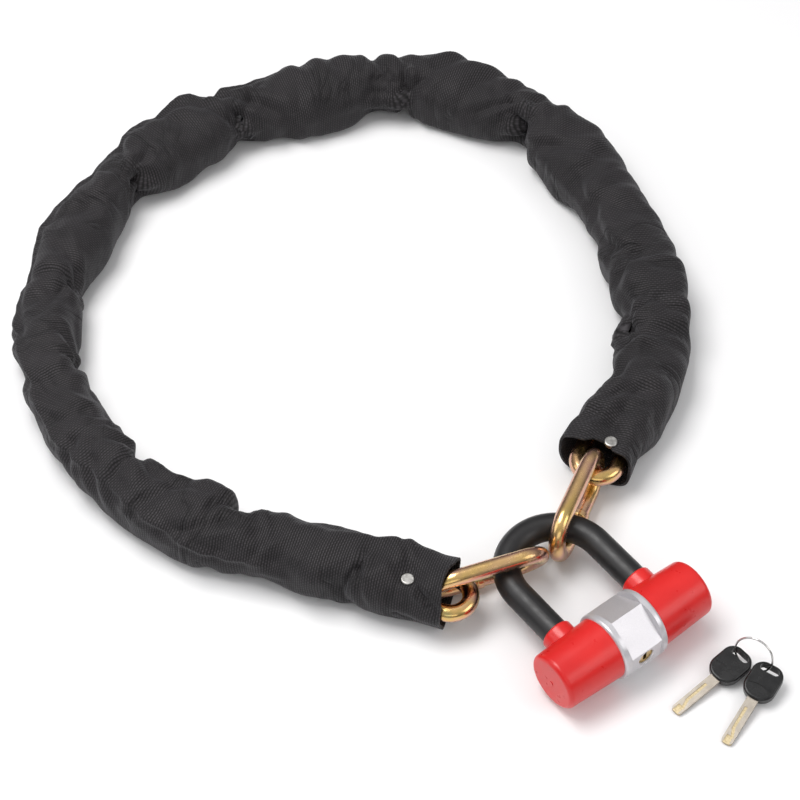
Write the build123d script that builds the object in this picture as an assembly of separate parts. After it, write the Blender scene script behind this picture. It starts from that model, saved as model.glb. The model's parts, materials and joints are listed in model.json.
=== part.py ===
from build123d import *
import math
import os

# Chain lock lying on a flat floor, in millimetres, +Z up, floor at z = 0.
# A U shackle locks into a crossbar; a sleeved chain of 27 links and two long
# end links makes a closed loop through the shackle. Two keys hang on a ring.
# Plan positions are in layout coordinates; the export moves LAYOUT_ORIGIN to (0, 0).

LAYOUT_ORIGIN = (-15.17, 39.02)
SIDES = (-1, 1)
FIT = 0.05                 # clearance of close-fitting parts
nodes = {}


# -------------------------------------------------------------------- helpers
def along_x(r, x0, x1, y=0.0):
    return Pos((x0 + x1) / 2, y, 0) * Rot(0, 90, 0) * Cylinder(r, abs(x1 - x0))


def along_y(r, y0, y1, x=0.0):
    return Pos(x, (y0 + y1) / 2, 0) * Rot(90, 0, 0) * Cylinder(r, abs(y1 - y0))


def along_z(r, z0, z1, x=0.0, y=0.0):
    return Pos(x, y, (z0 + z1) / 2) * Cylinder(r, abs(z1 - z0))


def circles(shape):
    return shape.edges().filter_by(GeomType.CIRCLE)


def step(start, heading, distance):
    """The plan point at a distance from start along a heading in degrees."""
    turn = math.radians(heading)
    return start[0] + math.cos(turn) * distance, start[1] + math.sin(turn) * distance


# ------------------------------------------------------------ lock dimensions
# Lock frame: x along the crossbar, y towards the shackle crown, z up,
# origin at the middle of the crossbar.
COLLAR_R, COLLAR_HALF = 25.0, 19.0
COLLAR_KEY_R = 6.1         # opening for the key
# flats between the collar rims: turn about x, distance from the axis
COLLAR_FLATS = ((35, 20.48), (90, 23.49), (145, 20.48), (215, 20.48), (270, 23.49), (325, 20.48))
FLAT_HALF, FLAT_TOP_HALF, FLAT_TOP = 13.2, 14.8, 26.5
LOCK = Location((151.6, -208.3, COLLAR_R), (0, 0, 37.8))

BODY_HALF = 64.0           # half length over the covers
COVER_R_IN, COVER_R_END, COVER_FILLET = 22.8, 20.8, 3.6
GATE_R, GATE_OUT = 1.6, 0.35
BOSS_R, BOSS_TOP, BOSS_FILLET = 11.8, 28.8, 1.6
CROSSBAR_R, CROSSBAR_HALF = 17.5, 58.0
BORE_R = 7.0               # locking bolt bore along the crossbar
END_PLUG_IN, END_PLUG_OUT = 48.0, 57.0

LEG_X = 35.8               # shackle legs at x = +-LEG_X
STEEL_R, COAT_R = 8.0, 10.0
LEG_END, CROWN_Y = -12.0, 68.0
COAT_END = 18.2
NOTCH_IN, NOTCH_OUT = 27.0, 32.4   # bolt notches in the legs
SOCKET_R, SOCKET_END = STEEL_R + FIT, LEG_END - 2
BOLT_R, BOLT_IN, BOLT_OUT = BORE_R - FIT, 4.7, 27.6

# lock cylinder: its front is at -y, where the key goes in
HOUSING_R, HOUSING_FRONT, HOUSING_BACK = 11.45, -17.0, -7.15
NOSE_R, NOSE_FRONT = 8.0, -22.0
PLUG_R, PLUG_FRONT = 5.5, -21.8
KEYWAY_W, KEYWAY_H, KEYWAY_END = 2.9, 8.6, -7.8
DRIVE_R, DRIVE_END = 3.0, 4.2      # rear shaft of the plug, through the cam
TAIL_R, TAIL_END = 2.2, 6.2        # thinner tail of the shaft, through the clip
CAM_RX, CAM_RZ, CAM_HALF = 4.0, 8.5, 4.0
CLIP_R, CLIP_FRONT, CLIP_BACK = 4.2, 4.6, 5.4
PIN_YS = (-13.6, -11.1, -8.6)
PIN_R = 0.9
SPRING_R, SPRING_WIRE_R, SPRING_PITCH, SPRING_H, SPRING_Z = 0.7, 0.13, 0.75, 2.6, 7.9
CROSS_PIN_R, CROSS_PIN_X, CROSS_PIN_Y, CROSS_PIN_HALF = 1.5, 10.9, -11.0, 12.0


# ------------------------------------------------------------------ lock body
def cross_pin(half):
    return along_z(CROSS_PIN_R, -half, half, x=CROSS_PIN_X, y=CROSS_PIN_Y)


def make_crossbar():
    bar = along_x(CROSSBAR_R, -CROSSBAR_HALF, CROSSBAR_HALF)
    bar = chamfer(circles(bar), 1.0)
    bar -= along_x(BORE_R, -CROSSBAR_HALF - 1, CROSSBAR_HALF + 1)
    for side in SIDES:
        bar -= along_y(SOCKET_R, SOCKET_END, 20, x=side * LEG_X)
    bar -= along_y(HOUSING_R + FIT, -20, 9.0)
    return bar - cross_pin(20)


def make_end_plugs():
    """A plug pressed into each end of the bolt bore."""
    plugs = []
    for side in SIDES:
        plug = along_x(BORE_R, side * END_PLUG_IN, side * END_PLUG_OUT)
        plugs.append(chamfer(circles(plug), 0.5))
    return Compound(children=plugs)


def make_cover(side):
    """Tapered cover with a boss round the shackle leg, built on the +x side."""
    half = Plane.XY * Polygon((COLLAR_HALF, 0), (COLLAR_HALF, COVER_R_IN),
                              (BODY_HALF, COVER_R_END), (BODY_HALF, 0), align=None)
    outer_corner = half.vertices().sort_by(Axis.X)[-2:].sort_by(Axis.Y)[-1]
    half = fillet(outer_corner, COVER_FILLET)
    body = revolve(half, axis=Axis.X, revolution_arc=360)
    boss = along_y(BOSS_R, 0, BOSS_TOP, x=LEG_X)
    boss = fillet(circles(boss).sort_by(Axis.Y)[-1], BOSS_FILLET)
    body = body + boss
    body -= along_x(CROSSBAR_R, 0, CROSSBAR_HALF + 0.3)
    body -= along_y(COAT_R + 0.15, 0, BOSS_TOP + 1, x=LEG_X)
    # small moulding gate on the end face
    body += along_x(GATE_R, BODY_HALF - 1.0, BODY_HALF + GATE_OUT)
    return body.mirror(Plane.YZ) if side < 0 else body


def make_collar():
    """Centre collar: rounded rims with six flats between them."""
    collar = along_x(COLLAR_R, -COLLAR_HALF, COLLAR_HALF)
    collar = fillet(circles(collar), 2.2)
    for turn, distance in COLLAR_FLATS:
        profile = Plane.XZ * Polygon((-FLAT_HALF, distance), (FLAT_HALF, distance),
                                     (FLAT_TOP_HALF, FLAT_TOP), (-FLAT_TOP_HALF, FLAT_TOP),
                                     align=None)
        collar -= Rot(turn, 0, 0) * extrude(profile, amount=25, both=True)
    collar -= along_x(CROSSBAR_R, -COLLAR_HALF - 1, COLLAR_HALF + 1)
    collar -= along_y(NOSE_R + FIT, NOSE_FRONT - 0.1, -10)
    collar -= along_y(COLLAR_KEY_R, -26, -10)
    key_rims = circles(collar).filter_by(lambda e: abs(e.radius - COLLAR_KEY_R) < 0.01)
    return chamfer(key_rims.sort_by(Axis.Y)[0], 0.7)


# -------------------------------------------------------------- lock cylinder
def make_housing():
    housing = along_y(HOUSING_R, HOUSING_FRONT, HOUSING_BACK)
    housing = housing + along_y(NOSE_R, NOSE_FRONT, HOUSING_FRONT)
    # the wide part ends flush with the crossbar surface
    housing = housing & (along_x(CROSSBAR_R - FIT, -20, 20) + along_y(NOSE_R, NOSE_FRONT, 0))
    housing -= along_y(PLUG_R + FIT, -30, 0)
    for y in PIN_YS:
        housing -= along_z(PIN_R + FIT, 4.0, 10.9, y=y)
    return housing - cross_pin(20)


def make_cylinder_plug():
    plug = (along_y(PLUG_R, PLUG_FRONT, HOUSING_BACK) + along_y(DRIVE_R, HOUSING_BACK, DRIVE_END)
            + along_y(TAIL_R, DRIVE_END, TAIL_END))
    keyway_front = PLUG_FRONT - 1.0
    plug -= (Pos(0, (keyway_front + KEYWAY_END) / 2, 0)
             * Box(KEYWAY_W, KEYWAY_END - keyway_front, KEYWAY_H))
    for y in PIN_YS:
        plug -= along_z(PIN_R + FIT, 2.0, 6.5, y=y)
    return plug


def make_cam():
    oval = Plane.XZ * Ellipse(CAM_RX, CAM_RZ)
    return extrude(oval, amount=CAM_HALF, both=True) - along_y(DRIVE_R, -5, 5)


def make_clip():
    """Thin ring round the plug's tail, open at the bottom."""
    ring = along_y(CLIP_R, CLIP_FRONT, CLIP_BACK) - along_y(TAIL_R, 4, 6)
    return ring - Pos(0, 5, -3.4) * Box(2.6, 2, 4)


def make_key_pin(y):
    pin = along_z(PIN_R, 2.6, 5.4, y=y)
    return chamfer(circles(pin).sort_by(Axis.Z)[0], 0.6)


def make_driver_pin(y):
    return along_z(PIN_R, 5.58, 7.6, y=y)


def make_spring(y):
    coil = Helix(pitch=SPRING_PITCH, height=SPRING_H, radius=SPRING_R)
    section = Plane(origin=coil @ 0, z_dir=coil % 0) * Circle(SPRING_WIRE_R)
    return Pos(0, y, SPRING_Z) * sweep(section, path=coil, is_frenet=True)


def pin_row(make):
    return Compound(children=[make(y) for y in PIN_YS])


def make_bolt(side):
    bolt = along_x(BOLT_R, side * BOLT_IN, side * BOLT_OUT)
    return chamfer(circles(bolt).sort_by(Axis.X)[-1 if side > 0 else 0], 1.0)


# -------------------------------------------------------------------- shackle
def u_bar(r, leg_end):
    path = Wire([Line((-LEG_X, leg_end), (-LEG_X, CROWN_Y)),
                 ThreePointArc((-LEG_X, CROWN_Y), (0, CROWN_Y + LEG_X), (LEG_X, CROWN_Y)),
                 Line((LEG_X, CROWN_Y), (LEG_X, leg_end))])
    section = Plane(origin=(-LEG_X, leg_end, 0), z_dir=(0, 1, 0)) * Circle(r)
    return sweep(section, path=path)


def make_shackle_bar():
    bar = u_bar(STEEL_R, LEG_END)
    bar = chamfer(circles(bar).sort_by(Axis.Y)[:2], 1.2)
    for side in SIDES:
        bar -= along_x(BORE_R + 0.3, side * NOTCH_IN, side * NOTCH_OUT)
    return bar


def make_coating():
    coat = u_bar(COAT_R, COAT_END)
    coat = fillet(circles(coat).sort_by(Axis.Y)[:2], 0.8)
    return coat - u_bar(STEEL_R, COAT_END - 3)


lock_parts = {
    "crossbar": make_crossbar(),
    "end_plugs": make_end_plugs(),
    "cover_left": make_cover(-1),
    "cover_right": make_cover(1),
    "centre_collar": make_collar(),
    "cylinder_housing": make_housing(),
    "cylinder_plug": make_cylinder_plug(),
    "drive_cam": make_cam(),
    "plug_clip": make_clip(),
    "key_pins": pin_row(make_key_pin),
    "driver_pins": pin_row(make_driver_pin),
    "pin_springs": pin_row(make_spring),
    "cylinder_pin": cross_pin(CROSS_PIN_HALF),
    "bolt_left": make_bolt(-1),
    "bolt_right": make_bolt(1),
    "shackle_bar": make_shackle_bar(),
    "shackle_coating": make_coating(),
}
for name, part in lock_parts.items():
    nodes[name] = LOCK * part

# ---------------------------------------------------------------------- chain
WIRE = 12.0                               # wire diameter
LINK_INNER, LINK_WIDE = 51.0, 17.0        # ordinary link, inside sizes
END_INNER, END_WIDE = 70.0, 24.0          # long end link, inside sizes
BEAD_OUT, BEAD_HALF = 0.9, 2.6            # weld bead on an end link
SLACK = 1.0                               # gap between neighbouring wires
END_SLIP = 15.9                           # extra slack of the last link in end link Z
CHAIN_Z, END_Z = 24.0, 25.0
CHAIN_START = (141.7, -61.8)              # wire centre at the far crown of end link A
# heading of each link, in degrees
HEADINGS = (
    63.701, 68.52, 78.344, 90.707, 102.004, 111.824, 121.783, 134.069, 149.544,
    166.623, 182.769, 195.612, 205.284, 214.747, 225.676, 237.475, 249.366, 261.298,
    273.625, 286.572, 300.072, 313.655, 326.256, 335.784, 340.566, 341.912, 342.823)
# end links: pivot index, heading from that pivot, lean about the long axis, bead x
END_LINKS = {"end_link_a": (0, 247.0, 5.0, -3.0), "end_link_z": (-1, 19.9, 24.0, -2.0)}
LINKS_PER_SLEEVE = 3
MID_SLEEVE = 4                            # index of the middle sleeve


def make_link(inner, wide, bead_x=None):
    """Link in the xy plane, long axis x; a weld bead may sit on its -y side."""
    wire_r = WIRE / 2
    bend_r = (wide + WIRE) / 2
    half = (inner - wide) / 2
    ends = []
    for side in SIDES:
        section = Plane(origin=(side * half, bend_r, 0), z_dir=(1, 0, 0)) * Circle(wire_r)
        ends.append(revolve(section, axis=Axis((side * half, 0, 0), (0, 0, 1)),
                            revolution_arc=-180.0 * side))
    body = (ends[0] + ends[1] + along_x(wire_r, -half, half, y=bend_r)
            + along_x(wire_r, -half, half, y=-bend_r))
    if bead_x is not None:
        bead = along_x(wire_r + BEAD_OUT, bead_x - BEAD_HALF, bead_x + BEAD_HALF, y=-bend_r)
        body = body + fillet(circles(bead), 0.85)
    return body


# Links alternate flat and upright; an arm runs from a link's centre to the
# bend, which is at the wire centre of the upright link's crown.
flat_link = make_link(LINK_INNER, LINK_WIDE)
link_shapes = (flat_link, Rot(90, 0, 0) * flat_link)
link_arms = (LINK_INNER / 2 - WIRE / 2 - SLACK, LINK_INNER / 2 + WIRE / 2)

pivots = [CHAIN_START]                    # bend points between neighbouring links
middle_links = []
for k, heading in enumerate(HEADINGS):
    arm = link_arms[k % 2]
    x, y = step(pivots[-1], heading, arm)
    placed = Location((x, y, CHAIN_Z), (0, 0, heading)) * link_shapes[k % 2]
    if k // LINKS_PER_SLEEVE == MID_SLEEVE:
        middle_links.append(placed)
    else:
        nodes["link_%02d" % (k + 1)] = placed
    slip = END_SLIP if k == len(HEADINGS) - 1 else 0.0
    pivots.append(step(pivots[-1], heading, 2 * arm - slip))
# the three links in the middle sleeve share a node
nodes["links_mid"] = Compound(children=middle_links)

for name, (pivot, heading, lean, bead_x) in END_LINKS.items():
    body = Rot(90 + lean, 0, 0) * make_link(END_INNER, END_WIDE, bead_x)
    x, y = step(pivots[pivot], heading, END_INNER / 2 + WIRE / 2)
    nodes[name] = Location((x, y, END_Z), (0, 0, heading)) * body

# --------------------------------------------------------------------- sleeve
# elliptical section: half width, half height, height of the centre
OUTER_HALF_W, OUTER_HALF_H, OUTER_Z = 25.0, 23.8, 23.5
INNER_HALF_W, INNER_HALF_H, INNER_Z = 23.3, 21.7, 23.7
SLEEVE_GAP, MOUTH_GAP = 5.0, 8.0   # each side of a bend, and short of the end links
SLEEVES = len(HEADINGS) // LINKS_PER_SLEEVE
# rivets by sleeve index: node, x, y, heading
RIVETS = {0: ("rivet_a", 151.2, -55.4, 60.0), SLEEVES - 1: ("rivet_z", 5.2, -174.3, 338.0)}
FOLD_Z, FOLD_FLOOR = 39.0, 1.4     # underside and thickness of the riveted fold
FOLD_L, FOLD_W = 12.8, 16
POCKET_L, POCKET_W = 10.4, 13.4
CUT_H = 40                         # reaches above the sleeve
SHANK_R, WASHER_R = 1.5, 4.0
HEAD_R, HEAD_H, HEAD_FILLET = 4.8, 1.5, 1.0


def curvature(a, m, b):
    """Signed curvature of the circle through three points, left turn positive."""
    doubled_area = (m[0] - a[0]) * (b[1] - a[1]) - (m[1] - a[1]) * (b[0] - a[0])
    return 2 * doubled_area / (math.dist(a, b) * math.dist(a, m) * math.dist(m, b))


def bent_tube(section, a, b, bend, s0, s1):
    """Section (x across, y up) revolved along the arc a-b of curvature bend, from s0 to s1."""
    start = math.atan2(b[1] - a[1], b[0] - a[0]) - math.asin(math.dist(a, b) / 2 * bend)
    centre_x = a[0] - math.sin(start) / bend
    centre_y = a[1] + math.cos(start) / bend
    turn = start + bend * s0
    sin, cos = math.sin(turn), math.cos(turn)
    plane = Plane(origin=(centre_x + sin / bend, centre_y - cos / bend, 0),
                  x_dir=(-sin, cos, 0), z_dir=(cos, sin, 0))
    axis = Axis((centre_x, centre_y, 0), (0, 0, 1 if bend > 0 else -1))
    return revolve(plane * section, axis=axis,
                   revolution_arc=abs(math.degrees(bend * (s1 - s0))))


above_floor = Pos(0, 40) * Rectangle(120, 80)
outer_section = (Pos(0, OUTER_Z) * Ellipse(OUTER_HALF_W, OUTER_HALF_H)) & above_floor
inner_section = Pos(0, INNER_Z) * Ellipse(INNER_HALF_W, INNER_HALF_H)


def make_sleeve(index):
    first = LINKS_PER_SLEEVE * index
    a, m1, m2, b = pivots[first:first + LINKS_PER_SLEEVE + 1]
    bend = (curvature(a, m1, b) + curvature(a, m2, b)) / 2
    length = 2 * math.asin(math.dist(a, b) / 2 * bend) / bend
    arc = (a, b, bend,
           MOUTH_GAP if index == 0 else SLEEVE_GAP,
           length - (MOUTH_GAP if index == SLEEVES - 1 else SLEEVE_GAP))
    tube = bent_tube(outer_section - inner_section, *arc)
    if index in RIVETS:
        # pinched fold that the rivet clamps, sunk into the top of the mouth
        _, x, y, heading = RIVETS[index]
        at = Location((x, y, FOLD_Z), (0, 0, heading))
        pit = at * Pos(0, 0, CUT_H / 2) * Box(FOLD_L, FOLD_W, CUT_H)
        fold = bent_tube(outer_section, *arc) & pit
        fold = fold - at * Pos(0, 0, CUT_H / 2 + FOLD_FLOOR) * Box(POCKET_L, POCKET_W, CUT_H)
        fold = fold - at * Cylinder(SHANK_R + FIT, 8)
        tube = (tube - pit) + fold
    return tube


def make_rivet():
    head_z = FOLD_Z + FOLD_FLOOR + FIT
    head = along_z(HEAD_R, head_z, head_z + HEAD_H)
    head = fillet(circles(head).sort_by(Axis.Z)[-1], HEAD_FILLET)
    return (head + along_z(SHANK_R, FOLD_Z - 1.2, FOLD_Z + 1.6)
            + along_z(WASHER_R, FOLD_Z - 1.2, FOLD_Z - FIT))


for i in range(SLEEVES):
    nodes["sleeve_%d" % (i + 1)] = make_sleeve(i)
for name, x, y, heading in RIVETS.values():
    nodes[name] = Location((x, y, 0), (0, 0, heading)) * make_rivet()

# ----------------------------------------------------------------------- keys
RING_AT, RING_AXIS = (240.17, -219.34, 16.07), (-0.5255, -0.8111, 0.2567)
RING_R, RING_WIRE_R = 13.76, 0.7
KEYS = ((185.1, -255.4, 39.8, 5.8), (217.0, -279.6, 56.4, 7.5))   # tip x, y, heading, pitch
# key frame: x from the tip to the bow, y across, z through the thickness
BLADE_L, BLADE_W, BLADE_T = 37.5, 8.0, 2.6
TANG_L = 12                        # blade length inside the bow
TRACK_W, TRACK_CUT = 2.2, 0.9
BOW_L, BOW_W, BOW_T = 28.8, 22.5, 7.0
SLOT_X, SLOT_L, SLOT_W = 61.6, 14.4, 5.3
STEP_X, STEP_R_OUT, STEP_R_IN = BLADE_L - 13, 24.6, 23.8


def make_blank():
    return Pos((BLADE_L + TANG_L) / 2, 0, 0) * Box(BLADE_L + TANG_L, BLADE_W, BLADE_T)


def make_blade():
    blade = make_blank()
    blade = fillet(blade.edges().filter_by(Axis.Z).sort_by(Axis.X)[:2], 2.6)
    # milled track on both faces
    for side in SIDES:
        z = side * BLADE_T / 2
        blade -= (Pos(20.5, 0.7, z) * Box(19, TRACK_W, TRACK_CUT)
                  + Pos(9.0, -0.5, z) * Rot(0, 0, 18) * Box(9, TRACK_W, TRACK_CUT)
                  + Pos(3.0, 0, z) * Box(6.5, 4.6, TRACK_CUT))
    return blade


def make_bow():
    bow = Pos(BLADE_L + BOW_L / 2, 0, 0) * Box(BOW_L, BOW_W, BOW_T)
    bow = fillet(bow.edges().filter_by(Axis.Z).sort_by(Axis.X)[:2], 10.0)
    bow = fillet(bow.edges().filter_by(Axis.Z).sort_by(Axis.X)[-2:], 8.5)
    bow = fillet(bow.edges().group_by(Axis.Z)[0] + bow.edges().group_by(Axis.Z)[-1], 1.6)
    slot = Plane.XY * Pos(SLOT_X, 0) * Rot(0, 0, 90) * SlotOverall(SLOT_L, SLOT_W)
    bow -= extrude(slot, amount=10, both=True)
    # raised curved step across each face
    arc = Pos(STEP_X, 0, 0) * (Cylinder(STEP_R_OUT, BOW_T + 0.7) - Cylinder(STEP_R_IN, BOW_T + 2))
    bow += arc & (Pos(BLADE_L + 10.5, 0, 0) * Box(8, BOW_W - 6, 20))
    # room for the tang
    bow -= make_blank() & (Pos(BLADE_L + TANG_L / 2, 0, 0) * Box(TANG_L + 0.1, 20, 20))
    return bow


nodes["key_ring"] = Plane(origin=RING_AT, z_dir=RING_AXIS) * Torus(RING_R, RING_WIRE_R)
for number, (x, y, heading, pitch) in enumerate(KEYS, 1):
    # the tip lies on the floor and the bow is raised to the ring
    frame = Location((x, y, BLADE_T / 2), (0, 0, heading)) * Location((0, 0, 0), (0, -pitch, 0))
    nodes["key_%d_blade" % number] = frame * make_blade()
    nodes["key_%d_bow" % number] = frame * make_bow()

# --------------------------------------------------------------------- export
os.makedirs("parts", exist_ok=True)
shift = Location((-LAYOUT_ORIGIN[0], -LAYOUT_ORIGIN[1], 0))
for name, shape in nodes.items():
    export_step(shape.moved(shift), "parts/%s.step" % name)
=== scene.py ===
import json
import math

import bpy
import numpy as np
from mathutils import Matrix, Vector
from mathutils.bvhtree import BVHTree


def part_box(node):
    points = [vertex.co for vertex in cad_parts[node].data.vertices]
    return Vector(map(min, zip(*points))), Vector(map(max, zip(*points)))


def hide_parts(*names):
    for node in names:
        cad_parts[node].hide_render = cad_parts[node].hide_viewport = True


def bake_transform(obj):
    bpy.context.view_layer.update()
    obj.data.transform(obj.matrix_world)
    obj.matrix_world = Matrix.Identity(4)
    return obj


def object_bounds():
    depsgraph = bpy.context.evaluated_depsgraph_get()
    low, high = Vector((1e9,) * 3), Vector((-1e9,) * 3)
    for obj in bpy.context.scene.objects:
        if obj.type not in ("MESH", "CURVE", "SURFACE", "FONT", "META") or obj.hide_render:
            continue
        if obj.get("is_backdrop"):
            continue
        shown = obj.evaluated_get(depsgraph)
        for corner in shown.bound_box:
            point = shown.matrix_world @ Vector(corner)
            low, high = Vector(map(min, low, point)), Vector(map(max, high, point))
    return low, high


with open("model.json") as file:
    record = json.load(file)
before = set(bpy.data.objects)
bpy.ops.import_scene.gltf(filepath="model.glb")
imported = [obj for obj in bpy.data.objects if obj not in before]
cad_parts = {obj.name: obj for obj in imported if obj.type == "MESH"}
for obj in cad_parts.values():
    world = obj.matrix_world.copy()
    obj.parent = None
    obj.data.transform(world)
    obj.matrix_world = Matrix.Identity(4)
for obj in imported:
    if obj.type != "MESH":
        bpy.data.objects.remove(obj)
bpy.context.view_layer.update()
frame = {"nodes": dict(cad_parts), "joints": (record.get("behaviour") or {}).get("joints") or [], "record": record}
nodes = frame["nodes"]
joints = {joint["name"]: joint for joint in frame["joints"]}

# ------------------------------------------------------------------ centre line
FIRST_BEND = np.array([141.7, -61.8])    # where the chain hangs on end link A
OFFSET = np.array(joints["bend_1"]["pos_m"][:2]) * 1000.0 - FIRST_BEND
# heading of each span between bends, in degrees
HEADINGS = (63.701, 68.52, 78.344, 90.707, 102.004, 111.824, 121.783, 134.069, 149.544,
            166.623, 182.769, 195.612, 205.284, 214.747, 225.676, 237.475, 249.366, 261.298,
            273.625, 286.572, 300.072, 313.655, 326.256, 335.784, 340.566, 341.912, 342.823)
HALF_SPANS = (18.5, 31.5)    # half lengths of the even and odd spans
END_TRIM = 15.9              # taken off the last span
RUN = 3                      # spans between two joints

bends = [FIRST_BEND + OFFSET]
for k, heading in enumerate(HEADINGS):
    length = 2 * HALF_SPANS[k % 2] - (END_TRIM if k == len(HEADINGS) - 1 else 0)
    turn = math.radians(heading)
    bends.append(bends[-1] + length * np.array([math.cos(turn), math.sin(turn)]))
bends = np.array(bends)
knots = np.r_[0, np.cumsum(np.linalg.norm(np.diff(bends, axis=0), axis=1))]
TOTAL = knots[-1]


def natural_spline(x, y):
    """Cubic through the points, with no curvature at its ends."""
    n = len(x)
    gap = np.diff(x)
    system = np.zeros((n, n))
    right = np.zeros((n,) + y.shape[1:])
    system[0, 0] = system[-1, -1] = 1.0
    for i in range(1, n - 1):
        system[i, i - 1:i + 2] = gap[i - 1], 2 * (gap[i - 1] + gap[i]), gap[i]
        right[i] = 6 * ((y[i + 1] - y[i]) / gap[i] - (y[i] - y[i - 1]) / gap[i - 1])
    bend = np.linalg.solve(system, right)

    def evaluate(s, slope=False):
        i = np.clip(np.searchsorted(x, s) - 1, 0, n - 2)
        ahead = (x[i + 1] - s)[:, None]
        behind = (s - x[i])[:, None]
        h = gap[i][:, None]
        start = y[i] / h - bend[i] * h / 6
        end = y[i + 1] / h - bend[i + 1] * h / 6
        if slope:
            return (-bend[i] * ahead ** 2 + bend[i + 1] * behind ** 2) / (2 * h) - start + end
        cubic = (bend[i] * ahead ** 3 + bend[i + 1] * behind ** 3) / (6 * h)
        return cubic + start * ahead + end * behind
    return evaluate


curve = natural_spline(knots, bends)


def line_at(s):
    """Centre line point, unit heading and left normal; straight beyond both ends."""
    s = np.asarray(s, float)
    inside = np.clip(s, 0, TOTAL)
    heading = curve(inside, slope=True)
    heading /= np.linalg.norm(heading, axis=1)[:, None]
    point = curve(inside) + heading * (s - inside)[:, None]
    return point, heading, np.stack([-heading[:, 1], heading[:, 0]], 1)


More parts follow.
